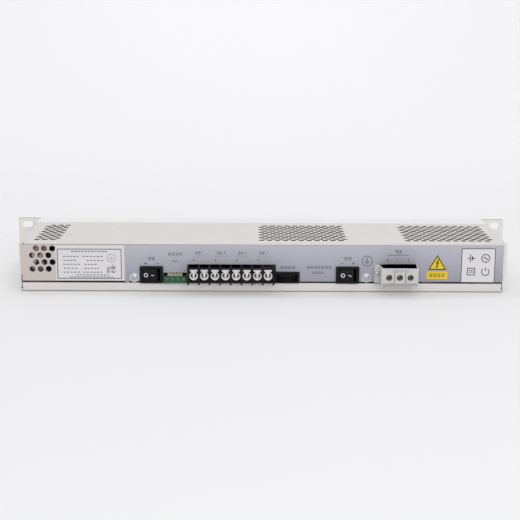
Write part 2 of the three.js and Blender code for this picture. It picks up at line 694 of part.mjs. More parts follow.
// ---- Status lights in the front panel -----------------------------------------------
LED_X.forEach((x, index) => {
  const lamp = rodAlongY(LED_RADIUS, x, [FRONT_PLATE_Y - 3, FRONT_Y], LED_Z, 12);
  place(`status_led_${index + 1}`, lamp, ledGreen);
});

export default ups;
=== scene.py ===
import json
import math
import random

import bmesh
import bpy
from mathutils import Matrix, Vector

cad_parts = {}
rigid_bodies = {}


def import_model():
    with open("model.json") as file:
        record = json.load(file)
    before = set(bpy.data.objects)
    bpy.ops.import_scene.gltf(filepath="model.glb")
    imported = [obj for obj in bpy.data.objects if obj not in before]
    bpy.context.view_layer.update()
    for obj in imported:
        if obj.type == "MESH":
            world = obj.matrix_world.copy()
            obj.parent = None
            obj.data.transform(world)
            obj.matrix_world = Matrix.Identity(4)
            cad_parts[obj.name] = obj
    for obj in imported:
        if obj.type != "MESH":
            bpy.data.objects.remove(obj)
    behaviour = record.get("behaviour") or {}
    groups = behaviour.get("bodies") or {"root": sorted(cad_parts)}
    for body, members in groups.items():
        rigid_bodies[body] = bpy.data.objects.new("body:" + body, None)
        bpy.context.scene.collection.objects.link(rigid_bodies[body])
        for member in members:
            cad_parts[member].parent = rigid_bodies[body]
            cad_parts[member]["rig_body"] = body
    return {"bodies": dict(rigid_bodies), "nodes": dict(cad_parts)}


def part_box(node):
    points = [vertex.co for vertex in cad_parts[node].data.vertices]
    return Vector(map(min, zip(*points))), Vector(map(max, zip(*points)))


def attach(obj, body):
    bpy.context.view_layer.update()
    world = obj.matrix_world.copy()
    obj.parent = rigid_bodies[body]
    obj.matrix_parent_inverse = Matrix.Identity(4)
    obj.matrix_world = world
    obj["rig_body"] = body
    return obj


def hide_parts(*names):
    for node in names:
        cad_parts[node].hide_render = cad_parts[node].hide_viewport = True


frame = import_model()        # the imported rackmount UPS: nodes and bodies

MM = 0.001
nodes = frame["nodes"]
for stray in list(bpy.context.scene.objects):
    if "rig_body" not in stray and stray not in frame["bodies"].values():
        bpy.data.objects.remove(stray)
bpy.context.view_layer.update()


def box_mm(node):
    """Lowest and highest corner of a CAD node, in millimetres."""
    low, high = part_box(node)
    return low / MM, high / MM


def middle_mm(node):
    """The middle of a CAD node as seen from the connector side: x and z in millimetres."""
    low, high = box_mm(node)
    return (low.x + high.x) / 2, (low.z + high.z) / 2


# ---- Camera ---------------------------------------------------------------------------
CAMERA_AT = Vector((-11.4, -1066.2, 252.8)) * MM
CAMERA_DOWN = math.radians(12.48)
CAMERA_RIGHT = math.radians(0.52)
CAMERA_ROLL = math.radians(0.314)
LENS = 80.05


def make_camera():
    forward = Vector((
        math.sin(CAMERA_RIGHT) * math.cos(CAMERA_DOWN),
        math.cos(CAMERA_RIGHT) * math.cos(CAMERA_DOWN),
        -math.sin(CAMERA_DOWN),
    ))
    level = Vector((math.cos(CAMERA_RIGHT), -math.sin(CAMERA_RIGHT), 0))
    upright = level.cross(forward)
    right = level * math.cos(CAMERA_ROLL) + upright * math.sin(CAMERA_ROLL)
    up = upright * math.cos(CAMERA_ROLL) - level * math.sin(CAMERA_ROLL)
    data = bpy.data.cameras.new("camera")
    data.lens = LENS
    data.sensor_width = 36
    data.clip_start, data.clip_end = 0.02, 50
    camera = bpy.data.objects.new("camera", data)
    turn = Matrix((right, up, -forward)).transposed().to_4x4()
    camera.matrix_world = Matrix.Translation(CAMERA_AT) @ turn
    bpy.context.scene.collection.objects.link(camera)
    bpy.context.scene.camera = camera


make_camera()


# ---- Materials ------------------------------------------------------------------------
def linear(channel):
    """sRGB 0..255 to linear 0..1."""
    c = channel / 255
    return c / 12.92 if c <= 0.04045 else ((c + 0.055) / 1.055) ** 2.4


def srgb(red, green, blue):
    return (linear(red), linear(green), linear(blue), 1)


class Surface:
    """A procedural material: a mottled base colour, uneven roughness and a fine bump."""

    def __init__(self, name, color, roughness=0.5, metallic=0.0, stretch=(1, 1, 1)):
        self.material = bpy.data.materials.new(name)
        self.material.use_nodes = True
        self.tree = self.material.node_tree
        self.shader = self.tree.nodes["Principled BSDF"]
        self.shader.inputs["Metallic"].default_value = metallic
        self.color = color
        self.roughness = roughness
        self.shader.inputs["Base Color"].default_value = color
        self.shader.inputs["Roughness"].default_value = roughness
        coords = self.tree.nodes.new("ShaderNodeTexCoord")
        mapping = self.tree.nodes.new("ShaderNodeMapping")
        mapping.inputs["Scale"].default_value = stretch
        self.tree.links.new(coords.outputs["Object"], mapping.inputs["Vector"])
        self.place = mapping.outputs["Vector"]
        self.plain = coords.outputs["Object"]

    def noise(self, scale, detail=3, along=None):
        node = self.tree.nodes.new("ShaderNodeTexNoise")
        node.inputs["Scale"].default_value = scale
        node.inputs["Detail"].default_value = detail
        self.tree.links.new(along or self.place, node.inputs["Vector"])
        return node.outputs["Fac"]

    def ramp(self, source, stops):
        node = self.tree.nodes.new("ShaderNodeValToRGB")
        elements = node.color_ramp.elements
        for index, (position, color) in enumerate(stops):
            element = elements[index] if index < 2 else elements.new(position)
            element.position = position
            element.color = color
        self.tree.links.new(source, node.inputs["Fac"])
        return node.outputs["Color"]

    def spread(self, source, low, high):
        node = self.tree.nodes.new("ShaderNodeMapRange")
        node.inputs["From Min"].default_value = 0.3
        node.inputs["From Max"].default_value = 0.7
        node.inputs["To Min"].default_value = low
        node.inputs["To Max"].default_value = high
        self.tree.links.new(source, node.inputs["Value"])
        return node.outputs["Result"]

    def mottle(self, scale, amount, detail=3):
        """The base colour wanders by the share amount, over patches 1/scale metres wide."""
        dark = tuple(c * (1 - amount) for c in self.color[:3]) + (1,)
        light = tuple(min(1, c * (1 + amount)) for c in self.color[:3]) + (1,)
        color = self.ramp(self.noise(scale, detail), [(0.3, dark), (0.7, light)])
        self.tree.links.new(color, self.shader.inputs["Base Color"])
        return self

    def uneven(self, scale, amount):
        """Roughness wanders by plus or minus amount."""
        low, high = self.roughness - amount, self.roughness + amount
        self.tree.links.new(self.spread(self.noise(scale), low, high), self.shader.inputs["Roughness"])
        return self

    def grain(self, scale, height, strength=1.0, detail=2):
        """A bump height millimetres deep, of grain 1/scale metres wide."""
        bump = self.tree.nodes.new("ShaderNodeBump")
        bump.inputs["Strength"].default_value = strength
        bump.inputs["Distance"].default_value = height * MM
        self.tree.links.new(self.noise(scale, detail), bump.inputs["Height"])
        self.tree.links.new(bump.outputs["Normal"], self.shader.inputs["Normal"])
        return self


def painted(name, color, roughness):
    return Surface(name, color, roughness).mottle(9, 0.012).uneven(60, 0.05).grain(1400, 0.02, 0.35)


def moulded(name, color, roughness, speckle=0.06):
    return Surface(name, color, roughness).mottle(240, speckle).uneven(300, 0.06).grain(3200, 0.015, 0.5)


def plated(name, color, roughness):
    return Surface(name, color, roughness, 1.0).mottle(420, 0.07).uneven(500, 0.08).grain(2600, 0.01, 0.4)


case_paint = painted("case_paint_look", srgb(217, 213, 211), 0.4)
front_paint = painted("front_paint_look", srgb(238, 237, 236), 0.45)
# The ears' paint is lighter than the case paint: partly painted light, which averages the brightly lit
# right ear with the left one.
ear_paint_with_painted_light = painted("ear_paint_look", srgb(228, 227, 223), 0.5)
# A dark brownish steel. On the vent holes' walls it is painted shade for the dark inside of the holes; it
# also colours a strip on each ear's top edge.
dark_edge = Surface("cut_edge_look", srgb(120, 110, 102), 0.6, 0.3).mottle(900, 0.15).uneven(500, 0.1)
dark_edge.grain(2500, 0.02, 0.5)
bare_steel = Surface("bare_steel_look", srgb(204, 194, 189), 0.42, 0.45, (1, 1, 9))
bare_steel.mottle(160, 0.03).uneven(220, 0.08).grain(900, 0.012, 0.5)
label_look = Surface("label_look", srgb(216, 214, 216), 0.45).mottle(30, 0.012).uneven(90, 0.05)
label_look.grain(700, 0.01, 0.3)
warning_look = Surface("warning_look", srgb(228, 194, 20), 0.45).mottle(60, 0.03).uneven(90, 0.05)
warning_look.grain(900, 0.01, 0.3)
black_plastic = moulded("black_plastic_look", srgb(17, 17, 21), 0.5, 0.12)
terminal_plastic = moulded("terminal_plastic_look", srgb(20, 18, 21), 0.5, 0.12)
for dull in (black_plastic, terminal_plastic):
    dull.shader.inputs["Specular IOR Level"].default_value = 0.2
grey_plastic = moulded("grey_plastic_look", srgb(196, 195, 194), 0.45, 0.02)
green_plastic = moulded("green_plastic_look", srgb(10, 88, 54), 0.45, 0.08)
ivory_plastic = moulded("ivory_plastic_look", srgb(206, 196, 148), 0.5, 0.05)
nickel = plated("nickel_look", srgb(222, 221, 219), 0.27)
dull_nickel = plated("dull_nickel_look", srgb(136, 137, 134), 0.38)
zinc = plated("zinc_look", srgb(198, 202, 208), 0.3)
pad_steel = Surface("pad_steel_look", srgb(214, 212, 213), 0.35, 0.2).mottle(300, 0.03)
pad_steel.uneven(300, 0.08).grain(1500, 0.01, 0.4)
brass = plated("brass_look", srgb(128, 114, 84), 0.4)
board_look = Surface("board_look", srgb(18, 52, 34), 0.45).mottle(700, 0.25, 1).uneven(200, 0.08)
board_look.grain(1500, 0.02, 0.5)
aluminium = Surface("aluminium_look", srgb(190, 194, 198), 0.4, 0.9, (1, 1, 12)).mottle(300, 0.05)
aluminium.uneven(400, 0.08).grain(1200, 0.01, 0.5)
core_look = Surface("core_look", srgb(120, 114, 106), 0.5, 0.5, (1, 1, 14)).mottle(700, 0.2)
core_look.uneven(300, 0.1).grain(1600, 0.05, 0.8)
wrap_look = Surface("wrap_look", srgb(70, 88, 118), 0.35).mottle(60, 0.08).uneven(90, 0.08)
wrap_look.grain(260, 0.1, 0.4)
sleeve_look = Surface("sleeve_look", srgb(30, 30, 34), 0.35).mottle(200, 0.1).uneven(200, 0.06)
sleeve_look.grain(900, 0.02, 0.4)
led_look = Surface("led_look", srgb(110, 214, 140), 0.2).mottle(900, 0.05).uneven(600, 0.04)
led_look.grain(2500, 0.005, 0.3)
led_look.shader.inputs["Transmission Weight"].default_value = 0.35
lead_grey = moulded("lead_grey_look", srgb(214, 208, 200), 0.4, 0.04)
lead_pink = moulded("lead_pink_look", srgb(206, 176, 176), 0.4, 0.04)
ink = Surface("ink_look", srgb(58, 56, 68), 0.6).mottle(1500, 0.2).uneven(900, 0.08).grain(3000, 0.005, 0.5)
label_ink = Surface("label_ink_look", srgb(96, 98, 108), 0.6).mottle(1500, 0.25).uneven(900, 0.08)
label_ink.grain(3000, 0.005, 0.5)
warning_ink = Surface("warning_ink_look", srgb(40, 34, 22), 0.55).mottle(1200, 0.2).uneven(900, 0.08)
warning_ink.grain(3000, 0.005, 0.5)
white_mark = Surface("white_mark_look", srgb(226, 226, 226), 0.5).mottle(1200, 0.06).uneven(900, 0.08)
white_mark.grain(3000, 0.005, 0.5)
red_mark = Surface("red_mark_look", srgb(120, 44, 34), 0.5).mottle(1200, 0.15).uneven(900, 0.08)
red_mark.grain(3000, 0.005, 0.5)
film_look = Surface("film_look", srgb(186, 186, 200), 0.42)


def paint_film_shade():
    """The overlay film's blue-grey runs a little darker towards its lower edge: painted shade, standing in
    for the shadowed floor that the film reflects near its foot.
    """
    low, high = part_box("rear_overlay_film")
    tree = film_look.tree
    split = tree.nodes.new("ShaderNodeSeparateXYZ")
    tree.links.new(film_look.plain, split.inputs["Vector"])
    height = tree.nodes.new("ShaderNodeMapRange")
    height.inputs["From Min"].default_value = low.z
    height.inputs["From Max"].default_value = high.z
    tree.links.new(split.outputs["Z"], height.inputs["Value"])
    # Painted shade: darker towards the film's lower edge, where it reflects the shadowed floor.
    base = film_look.ramp(height.outputs["Result"], [
        (0.0, srgb(150, 149, 163)), (1.0, srgb(182, 182, 192)),
    ])
    dust = film_look.ramp(film_look.noise(500, 4), [
        (0.35, (0.96, 0.96, 0.96, 1)), (0.65, (1, 1, 1, 1)),
    ])
    mix = tree.nodes.new("ShaderNodeMix")
    mix.data_type = "RGBA"
    mix.blend_type = "MULTIPLY"
    mix.inputs["Factor"].default_value = 1
    tree.links.new(base, mix.inputs[6])
    tree.links.new(dust, mix.inputs[7])
    tree.links.new(mix.outputs[2], film_look.shader.inputs["Base Color"])
    film_look.uneven(120, 0.06).grain(2200, 0.01, 0.4)


paint_film_shade()

looks = {
    "rear_panel": bare_steel, "rear_overlay_film": film_look,
    "rating_label": label_look, "pictogram_label": label_look,
    "hazard_triangle": warning_look, "hazard_plate": warning_look,
    "monitor_header": green_plastic, "main_board": board_look,
    "heatsink": aluminium, "transformer": core_look, "battery_pack": wrap_look,
}
for switch in ("battery_switch", "mains_switch"):
    for tab in (1, 2):
        looks[f"{switch}_tab_{tab}"] = brass
for post in range(1, 5):
    looks[f"board_standoff_{post}"] = nickel
for node, surface in looks.items():
    nodes[node].data.materials.clear()
    nodes[node].data.materials.append(surface.material)


# ---- Making pieces --------------------------------------------------------------------
def piece(name, bm, surface, body="chassis", smooth=40, replaces=()):
    """Turns a bmesh into a piece that rides on body and stands for some CAD nodes."""
    mesh = bpy.data.meshes.new(name)
    bmesh.ops.recalc_face_normals(bm, faces=bm.faces)
    bm.to_mesh(mesh)
    bm.free()
    mesh.polygons.foreach_set("use_smooth", [True] * len(mesh.polygons))
    mesh.set_sharp_from_angle(angle=math.radians(smooth))
    mesh.materials.append(surface.material)
    made = bpy.data.objects.new(name, mesh)
    bpy.context.scene.collection.objects.link(made)
    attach(made, body)
    if replaces:
        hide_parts(*replaces)
    return made


def prism(bm, outline, low, high, taper=1.0):
    """Adds a solid of an (x, y) outline between two heights, narrowing towards low."""
    bottom = [bm.verts.new((x * taper * MM, y * taper * MM, low * MM)) for x, y in outline]
    top = [bm.verts.new((x * MM, y * MM, high * MM)) for x, y in outline]
    bm.faces.new(top)
    bm.faces.new(bottom[::-1])
    count = len(outline)
    for i in range(count):
        after = (i + 1) % count
        bm.faces.new([bottom[i], bottom[after], top[after], top[i]])


def solid_copy(node):
    """A CAD node's shape as a bmesh with whole faces instead of triangles."""
    bm = bmesh.new()
    bm.from_mesh(nodes[node].data)
    bmesh.ops.remove_doubles(bm, verts=bm.verts, dist=1e-6)
    bmesh.ops.dissolve_limit(
        bm, angle_limit=math.radians(0.5), verts=bm.verts, edges=bm.edges,
    )
    return bm


def round_edges(bm, width, pick=lambda a, b: True, segments=3):
    """Rounds the convex edges that pick(one end, other end) names, in millimetres."""
    chosen = []
    for edge in bm.edges:
        if len(edge.link_faces) != 2 or not edge.is_convex:
            continue
        if edge.calc_face_angle() < math.radians(35):
            continue
        if pick(edge.verts[0].co / MM, edge.verts[1].co / MM):
            chosen.append(edge)
    bmesh.ops.bevel(
        bm, geom=chosen, offset=width * MM, segments=segments, profile=0.5,
        affect="EDGES", clamp_overlap=False,
    )


def refine(node, name, surface, rounds, body="chassis"):
    """Replaces a CAD node by the same shape. Each round is (width in mm, pick, segments)."""
    bm = solid_copy(node)
    for width, pick, segments in rounds:
        round_edges(bm, width, pick, segments)
    return piece(name, bm, surface, body, replaces=[node])


def both(test):
    return lambda a, b: test(a) and test(b)


def anywhere(a, b):
    return True


# ---- Case -----------------------------------------------------------------------------
cover_low, cover_high = box_mm("top_cover")
tray_low, tray_high = box_mm("base_tray")
front_low, front_high = box_mm("front_panel")
TOUCH = 0.02  # how near a corner has to be to count as on a face
LIP_TOP = 7.5


def paint_hole_shade(made, where):
    """Gives the walls of a sheet's punched holes a dark edge colour: painted shade, so the holes read dark
    inside.
    """
    made.data.materials.append(dark_edge.material)
    for face in made.data.polygons:
        upright = abs(face.normal.z) < 0.5
        if upright and where(Vector(face.center) / MM):
            face.material_index = 1


def refine_case():
    def cover_rim(v):
        outer = v.x < cover_low.x + TOUCH or v.x > cover_high.x - TOUCH
        return v.z > cover_high.z - TOUCH and (outer or v.y < cover_low.y + TOUCH)

    def on_one_side(a, b):
        same = lambda axis: abs(a[axis] - b[axis]) < TOUCH
        return cover_rim(a) and cover_rim(b) and (same(0) or same(1))

    cover = refine("top_cover", "cover_sheet", case_paint, [
        (0.9, on_one_side, 4),
    ])
    vents_from_rear, vents_half_width = 8, 215

    def in_a_vent(middle):
        return middle.y > cover_low.y + vents_from_rear and abs(middle.x) < vents_half_width

    # Painted shade: the vent holes' walls take the dark edge colour.
    paint_hole_shade(cover, in_a_vent)

    def tray_foot(v):
        outer = abs(v.x) > tray_high.x - TOUCH or v.y < tray_low.y + TOUCH
        return v.z < TOUCH and outer

    def tray_lip(v):
        return v.y < tray_low.y + TOUCH and abs(v.z - LIP_TOP) < TOUCH

    refine("base_tray", "tray_sheet", case_paint, [
        (1.0, both(tray_foot), 4), (0.3, both(tray_lip), 3),
    ])

    def face_outline(v):
        edge = abs(v.x) > front_high.x - TOUCH or v.z < front_low.z + TOUCH
        return v.y > front_high.y - TOUCH and (edge or v.z > front_high.z - TOUCH)

    refine("front_panel", "front_sheet", front_paint, [
        (0.9, both(face_outline), 4),
    ])
    for side in ("left", "right"):
        node = f"rack_ear_{side}"
        low, high = box_mm(node)
        outer = low.x if side == "left" else high.x

        def ear_outline(v):
            return abs(v.x - outer) < TOUCH

        refine(node, f"ear_sheet_{side}", ear_paint_with_painted_light, [
            (0.45, both(ear_outline), 3),
        ])
        # The ear's top edge, which looks darker than its faces.
        left, right = low.x + 0.3, high.x - 0.3
        back, front = high.y - 1.9, high.y - 0.1
        strip = bmesh.new()
        prism(strip, [(left, back), (right, back), (right, front), (left, front)],
              high.z, high.z + 0.06)
        piece(f"ear_cut_edge_{side}", strip, dark_edge)


refine_case()


# ---- Screws ---------------------------------------------------------------------------
def lathe(profile, sides=28):
    """A round solid about Z from (radius, height) points that start and end on the axis."""
    bm = bmesh.new()
    rings = []
    for radius, height in profile:
        if radius == 0:
            rings.append([bm.verts.new((0, 0, height * MM))])
            continue
        ring = []
        for side in range(sides):
            turn = 2 * math.pi * side / sides
            ring.append(bm.verts.new((
                radius * math.cos(turn) * MM, radius * math.sin(turn) * MM, height * MM,
            )))
        rings.append(ring)
    for lower, upper in zip(rings, rings[1:]):
        for side in range(sides):
            after = (side + 1) % sides
            corners = [lower[side % len(lower)], lower[after % len(lower)]]
            corners += [upper[after % len(upper)], upper[side % len(upper)]]
            unique = list(dict.fromkeys(corners))
            bm.faces.new(unique)
    bmesh.ops.recalc_face_normals(bm, faces=bm.faces)
    return bm


def carve(bm, cutter):
    """The first solid less the second, as a new bmesh."""
    parts = []
    for name, source in (("carved", bm), ("cutter", cutter)):
        mesh = bpy.data.meshes.new(name)
        bmesh.ops.recalc_face_normals(source, faces=source.faces)
        source.to_mesh(mesh)
        source.free()
        part = bpy.data.objects.new(name, mesh)
        bpy.context.scene.collection.objects.link(part)
        parts.append(part)
    modifier = parts[0].modifiers.new("cut", "BOOLEAN")
    modifier.operation = "DIFFERENCE"
    modifier.solver = "EXACT"
    modifier.object = parts[1]
    bpy.context.view_layer.update()
    graph = bpy.context.evaluated_depsgraph_get()
    made = bpy.data.meshes.new_from_object(parts[0].evaluated_get(graph))
    result = bmesh.new()
    result.from_mesh(made)
    bpy.data.meshes.remove(made)
    for part in parts:
        bpy.data.objects.remove(part)
    return result


def phillips(radius, height, shank=1.5, length=4.0):
    """A pan head with a cross recess. The head rests on z = 0 and points up."""
    dome = [(0, -length), (shank, -length), (shank, 0), (radius * 0.97, 0), (radius, 0.12 * height)]
    for step in range(1, 7):
        turn = step / 7 * math.pi / 2
        dome.append((
            radius * math.cos(turn) ** 0.45,
            height * (0.3 + 0.7 * math.sin(turn)),
        ))
    dome.append((0, height))
    arm, half = radius * 0.66, radius * 0.15
    cross = [
        (half, half), (half, arm), (-half, arm), (-half, half), (-arm, half), (-arm, -half),
        (-half, -half), (-half, -arm), (half, -arm), (half, -half), (arm, -half), (arm, half),
    ]
    cutter = bmesh.new()
    prism(cutter, cross, height * 0.25, height * 1.5, 0.55)
    return carve(lathe(dome), cutter)


def stand_out(at, turn=0.0, out=(0, -1, 0)):
    """Puts local +Z along out at a point in millimetres, after a turn about it in degrees."""
    aim = Vector(out).to_track_quat("Z", "Y").to_matrix().to_4x4()
    spin = Matrix.Rotation(math.radians(turn), 4, "Z")
    return Matrix.Translation(Vector(at) * MM) @ aim @ spin


def moved(bm, matrix):
    copy = bm.copy()
    copy.transform(matrix)
    return copy


def make_screws():
    wheel = random.Random(7)
    ground = phillips(3.1, 1.75)
    for index in (1, 2):
        low, high = box_mm(f"ground_screw_{index}")
        at = ((low.x + high.x) / 2, low.y + 1.75, (low.z + high.z) / 2)
        bm = moved(ground, stand_out(at, wheel.uniform(15, 60)))
        piece(f"ground_screw_head_{index}", bm, zinc, replaces=[f"ground_screw_{index}"])
        washer = lathe([(0, -0.02), (4.1, -0.02), (4.1, 0.25), (3.95, 0.35), (0, 0.35)], 36)
        piece(f"ground_washer_{index}", moved(washer, stand_out(at)), pad_steel)
    ear = phillips(2.75, 1.25)
    cover = phillips(2.7, 1.2)
    for side, out in (("left", (-1, 0, 0)), ("right", (1, 0, 0))):
        for kind, template, height in (("ear", ear, 1.25), ("cover", cover, 1.2)):
            for index in (1, 2):
                node = f"{kind}_screw_{side}_{index}"
                low, high = box_mm(node)
                x = low.x + height if side == "left" else high.x - height
                at = (x, (low.y + high.y) / 2, (low.z + high.z) / 2)
                bm = moved(template, stand_out(at, wheel.uniform(0, 90), out))
                piece(f"{kind}_screw_head_{side}_{index}", bm, zinc, replaces=[node])
    mains = phillips(2.5, 2.0, length=10)
    for index in (1, 2, 3):
        node = f"mains_screw_{index}"
        low, high = box_mm(node)
        at = ((low.x + high.x) / 2, low.y + 2.0, (low.z + high.z) / 2)
        bm = moved(mains, stand_out(at, wheel.uniform(20, 70)))
        piece(f"mains_screw_head_{index}", bm, dull_nickel, replaces=[node])
    low, high = box_mm("mains_block_fixing_screw")
    at = ((low.x + high.x) / 2, low.y + 1.25, (low.z + high.z) / 2)
    bm = moved(phillips(2.0, 1.25, 1.0, 2), stand_out(at, 40))
    piece("mains_fixing_screw_head", bm, zinc, replaces=["mains_block_fixing_screw"])
    return wheel


wheel = make_screws()


# ---- Output terminals -----------------------------------------------------------------
def make_clamp():
    """A pressed clamp, facing up (+Z): a wire plate, a tongue, and a ring round the screw."""
    outer, inner, drop = 3.85, 2.75, -0.95
    points = [(-3.4, 4.75), (-3.4, 3.5), (-1.5, 2.6)]
    for step in range(25):
        turn = math.radians(118 + step * 304 / 24)
        points.append((outer * math.cos(turn), drop + outer * math.sin(turn)))
    points += [(1.5, 2.6), (3.4, 3.5), (3.4, 4.75)]
    plate = bmesh.new()
    prism(plate, points, 0.1, 1.2)
    hole = bmesh.new()
    rim = []
    for step in range(28):
        turn = 2 * math.pi * step / 28
        rim.append((inner * math.cos(turn), drop + 0.45 + inner * 0.86 * math.sin(turn)))
    prism(hole, rim, -0.5, 2.0, 0.97)
    clamp = carve(plate, hole)
    # A tongue runs down from the wire plate to the screw, between the ring's dark openings.
    prism(clamp, [(-2.4, 4.7), (-0.9, 0.6), (0.9, 0.6), (2.4, 4.7)], 0.15, 1.25)
    return clamp


def make_outputs():
    refine("output_block_body", "output_block_shell", terminal_plastic, [
        (0.22, anywhere, 2),
    ])
    clamp = make_clamp()
    screw = phillips(1.95, 1.5, 1.0, 2)
    for index in range(1, 9):
        node = f"output_screw_{index}"
        low, high = box_mm(node)
        seat = ((low.x + high.x) / 2, low.y + 3.25, (low.z + high.z) / 2)
        both_parts = moved(clamp, stand_out(seat))
        head = moved(screw, stand_out((seat[0], seat[1] - 0.5, seat[2] - 0.75), wheel.uniform(0, 90)))
        mesh = bpy.data.meshes.new("joined")
        head.to_mesh(mesh)
        both_parts.from_mesh(mesh)
        piece(f"output_clamp_{index}", both_parts, nickel, replaces=[node])


make_outputs()


# ---- Mains terminals, switches, headers -----------------------------------------------
def make_connectors():
    low, high = box_mm("mains_block_body")

    wing_width, chin_top = 6.1, 11.3

    def front_rim(v):
        near_edge = v.x < low.x + wing_width or v.x > high.x - TOUCH or v.z > high.z - TOUCH
        return v.y < low.y + TOUCH and (near_edge or v.z < chin_top)

    refine("mains_block_body", "mains_block_shell", grey_plastic, [
        (0.3, both(front_rim), 3),
    ])
    for switch in ("battery_switch", "mains_switch"):
        low, high = box_mm(f"{switch}_housing")

        def bezel_front(v):
            return v.y < low.y + TOUCH

        refine(f"{switch}_housing", f"{switch}_bezel", black_plastic, [
            (0.45, both(bezel_front), 4),
        ])
        refine(f"{switch}_rocker", f"{switch}_paddle", black_plastic, [
            (0.3, both(lambda v: v.y < low.y + 4), 3),
        ], body=switch.replace("_switch", "_rocker"))
    header_front = box_mm("signal_header")[0].y
    refine("signal_header", "signal_header_shell", terminal_plastic, [
        (0.25, both(lambda v: v.y < header_front + TOUCH), 3),
    ])
    plug_nose = box_mm("monitor_plug")[0].y + 2
    refine("monitor_plug", "monitor_plug_shell", green_plastic, [
        (0.25, both(lambda v: v.y < plug_nose), 2),
    ], body="plug")
    refine("monitor_marker_strip", "monitor_marker_comb", ivory_plastic, [
        (0.15, anywhere, 2),
    ])
    for index in (1, 2):
        low, high = box_mm(f"capacitor_{index}")
        middle = ((low.x + high.x) / 2, (low.y + high.y) / 2, low.z)
        tall = high.z - low.z
        radius = (high.x - low.x) / 2
        can = lathe([
            (0, 0), (radius, 0), (radius, 1.5), (radius - 0.5, 2.2), (radius - 0.5, 3), (radius, 3.8),
            (radius, tall - 0.9), (radius - 0.8, tall), (radius - 2, tall - 0.1),
            (radius - 2.3, tall - 0.7), (0, tall - 0.7),
        ], 40)
        can.transform(Matrix.Translation(Vector(middle) * MM))
        piece(f"capacitor_can_{index}", can, sleeve_look, replaces=[f"capacitor_{index}"])
    for index in (1, 2, 3):
        low, high = box_mm(f"status_led_{index}")
        middle = ((low.x + high.x) / 2, low.y, (low.z + high.z) / 2)
        reach = high.y - low.y
        lens = lathe([
            (0, 0), (1.5, 0), (1.5, reach - 1), (1.2, reach - 0.35), (0.6, reach), (0, reach),
        ], 24)
        lens.transform(stand_out(middle, 0, (0, 1, 0)))
        piece(f"status_lens_{index}", lens, led_look, replaces=[f"status_led_{index}"])


make_connectors()


# ---- Prints ---------------------------------------------------------------------------
class Print:
    """Thin flat marks on a wall that faces -Y. Points are (x, z) in millimetres."""

    def __init__(self, y, thickness=0.05):
        self.bm = bmesh.new()
        self.y = y
        self.thickness = thickness

    def area(self, outline):
        flat = bmesh.new()
        prism(flat, outline, 0, self.thickness)
        turn = Matrix(((1, 0, 0, 0), (0, 0, -1, self.y * MM), (0, 1, 0, 0), (0, 0, 0, 1)))
        flat.transform(turn)
        self.add(flat)

    def add(self, other):
        mesh = bpy.data.meshes.new("mark")
        other.to_mesh(mesh)
        other.free()
        self.bm.from_mesh(mesh)
        bpy.data.meshes.remove(mesh)

    def bar(self, x, z, width, height):
        self.area([
            (x - width / 2, z - height / 2), (x + width / 2, z - height / 2),
            (x + width / 2, z + height / 2), (x - width / 2, z + height / 2),
        ])

    def plus(self, x, z, size, weight):
        self.bar(x, z, size, weight)
        self.bar(x, z, weight, size)

    def stroke(self, points, width, closed=False):
        """A line of even width through the points, mitred at its corners."""
        line = [Vector(p) for p in points]
        count = len(line)
        left, right = [], []
        for i, here in enumerate(line):
            before = line[i - 1] if closed or i > 0 else None
            after = line[(i + 1) % count] if closed or i < count - 1 else None
            ways = [(b - a).normalized() for a, b in ((before, here), (here, after)) if a and b]
            way = sum(ways, Vector((0, 0))).normalized()
            normal = Vector((-way.y, way.x))
            square = Vector((-ways[0].y, ways[0].x))
            reach = width / 2 / max(0.35, normal.dot(square))
            left.append(here + normal * reach)
            right.append(here - normal * reach)
        for i in range(count if closed else count - 1):
            after = (i + 1) % count
            self.area([tuple(right[i]), tuple(right[after]), tuple(left[after]), tuple(left[i])])

    def circle(self, x, z, radius, width, sides=28, start=0.0, sweep=360.0):
        full = sweep >= 360
        steps = sides if full else sides + 1
        points = []
        for i in range(steps):
            turn = math.radians(start + sweep * i / sides)
            points.append((x + radius * math.cos(turn), z + radius * math.sin(turn)))
        self.stroke(points, width, closed=full)

    def frame(self, x0, z0, x1, z1, width):
        self.stroke([(x0, z0), (x1, z0), (x1, z1), (x0, z1)], width, closed=True)

    def dashes(self, x, z, width, height, count, share=0.7):
        """A row of plain dashes centred on x, where the object carries a line of print."""
        pitch = width / count
        for i in range(count):
            middle = x + (i - (count - 1) / 2) * pitch
            if height < 1.2:
                self.bar(middle, z, pitch * share, height)
                continue
            for rise in (-0.5, 0, 0.5):
                self.bar(middle, z + rise * height, pitch * share, height * 0.22)

    def number(self, text, x, z, size):
        curve = bpy.data.curves.new("number", "FONT")
        curve.body = text
        curve.size = size * MM
        curve.extrude = self.thickness / 2 * MM
        curve.align_x = "CENTER"
        curve.align_y = "CENTER"
        holder = bpy.data.objects.new("number", curve)
        bpy.context.scene.collection.objects.link(holder)
        bpy.context.view_layer.update()
        graph = bpy.context.evaluated_depsgraph_get()
        mesh = bpy.data.meshes.new_from_object(holder.evaluated_get(graph))
        flat = bmesh.new()
        flat.from_mesh(mesh)
        bmesh.ops.remove_doubles(flat, verts=flat.verts, dist=1e-7)
        depth = self.y - self.thickness / 2
        turn = Matrix((
            (1, 0, 0, x * MM), (0, 0, -1, depth * MM), (0, 1, 0, z * MM), (0, 0, 0, 1),
        ))
        flat.transform(turn)
        self.add(flat)
        bpy.data.objects.remove(holder)
        bpy.data.meshes.remove(mesh)

    def finish(self, name, surface, body="chassis", matrix=None):
        if matrix:
            self.bm.transform(matrix)
        return piece(name, self.bm, surface, body)


film_low, film_high = box_mm("rear_overlay_film")
PRINT_Y = film_low.y - 0.01


